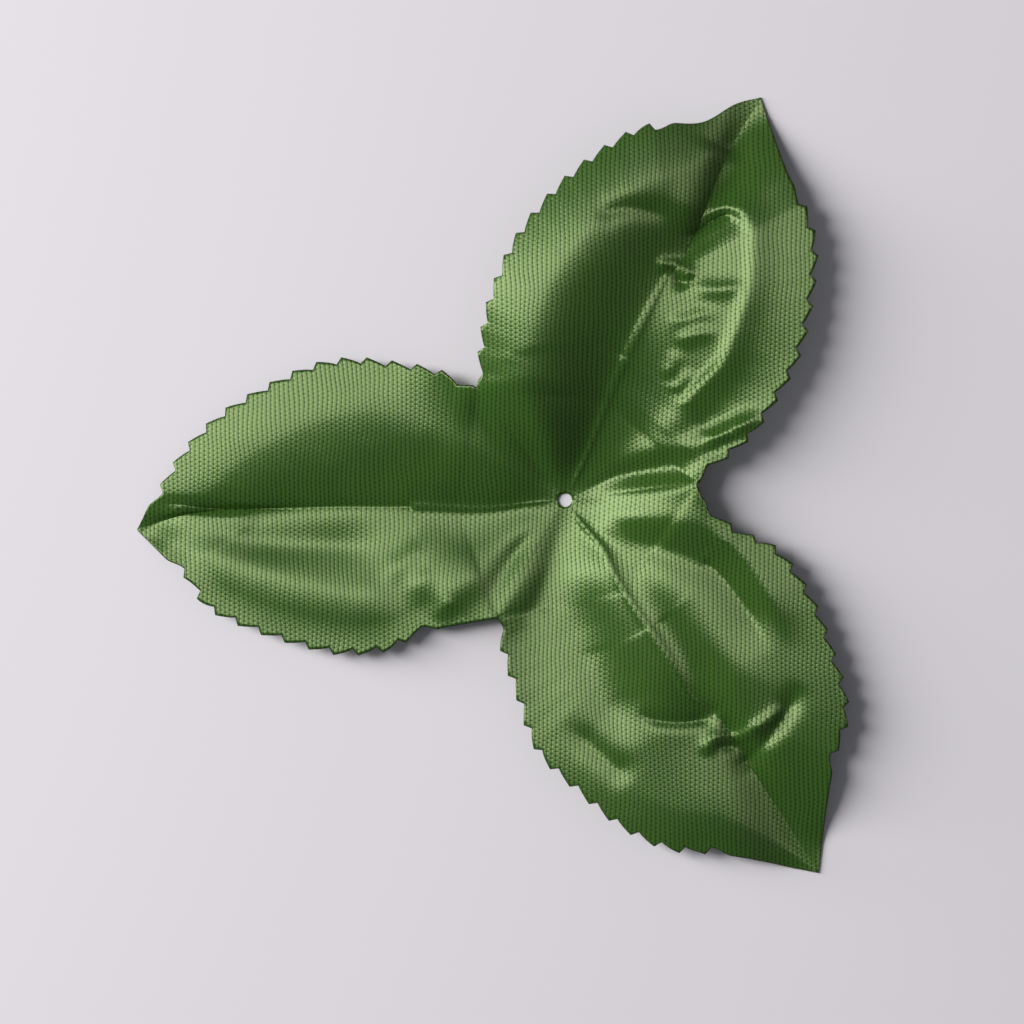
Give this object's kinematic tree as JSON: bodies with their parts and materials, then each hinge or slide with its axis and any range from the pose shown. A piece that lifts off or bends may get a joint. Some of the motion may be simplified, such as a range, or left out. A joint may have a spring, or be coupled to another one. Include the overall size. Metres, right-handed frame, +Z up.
{
  "type": "artificial rose leaf",
  "caption": "Fabric rose leaf: three toothed leaflets cut in one piece from green satin cloth, pressed into domes and folds, with a small punched hole at the hub.",
  "frame": {"origin": "centre of the leaf's bounding box, on the surface it lies on", "axes": "+Z up out of the cloth's upper face, +Y along the longest extent, towards the upper leaflet's side; the hole lies to +X and -Y of the origin"},
  "size_m": [0.0855, 0.093, 0.0078],
  "materials": {
    "green_satin_cloth": "satin weave with visible threads, raw cut edges"
  },
  "bodies": {
    "root": {"leaf_sheet": "green_satin_cloth"}
  },
  "joints": []
}
